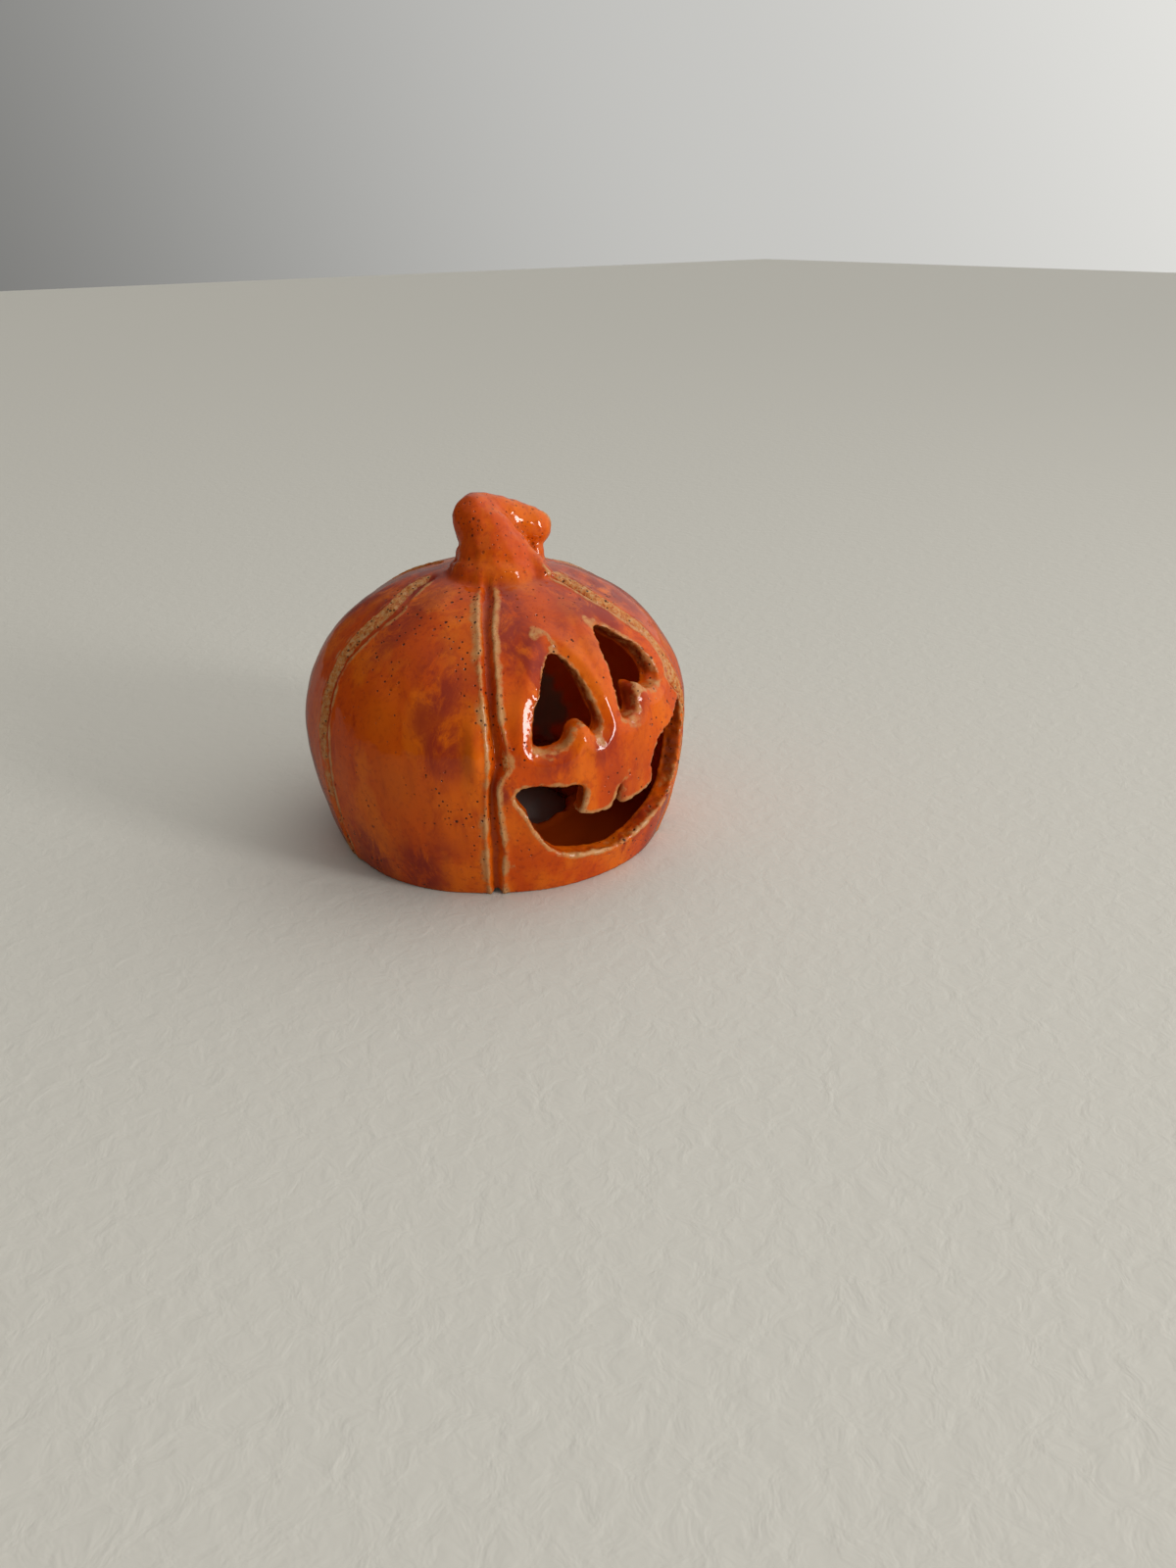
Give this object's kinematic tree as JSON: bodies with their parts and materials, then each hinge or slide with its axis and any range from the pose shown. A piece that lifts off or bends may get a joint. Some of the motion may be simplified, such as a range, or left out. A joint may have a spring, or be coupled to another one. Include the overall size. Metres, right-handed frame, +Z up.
{
  "type": "ceramic pumpkin lantern",
  "caption": "Small hollow glazed ceramic pumpkin with carved eyes, a toothed mouth, a folded stem and a round hole in its floor.",
  "frame": {"origin": "centre of the bounding box at the base, on the surface that the lantern stands on", "axes": "+Z up, along the shortest extent; the face looks along -Y; +X is to the right of someone looking at the face"},
  "size_m": [0.1056, 0.1064, 0.0931],
  "materials": {
    "orange_glaze": "glossy transparent orange glaze over pale buff clay, thin at the edges"
  },
  "bodies": {
    "root": {"pumpkin_lantern": "orange_glaze"}
  },
  "joints": []
}
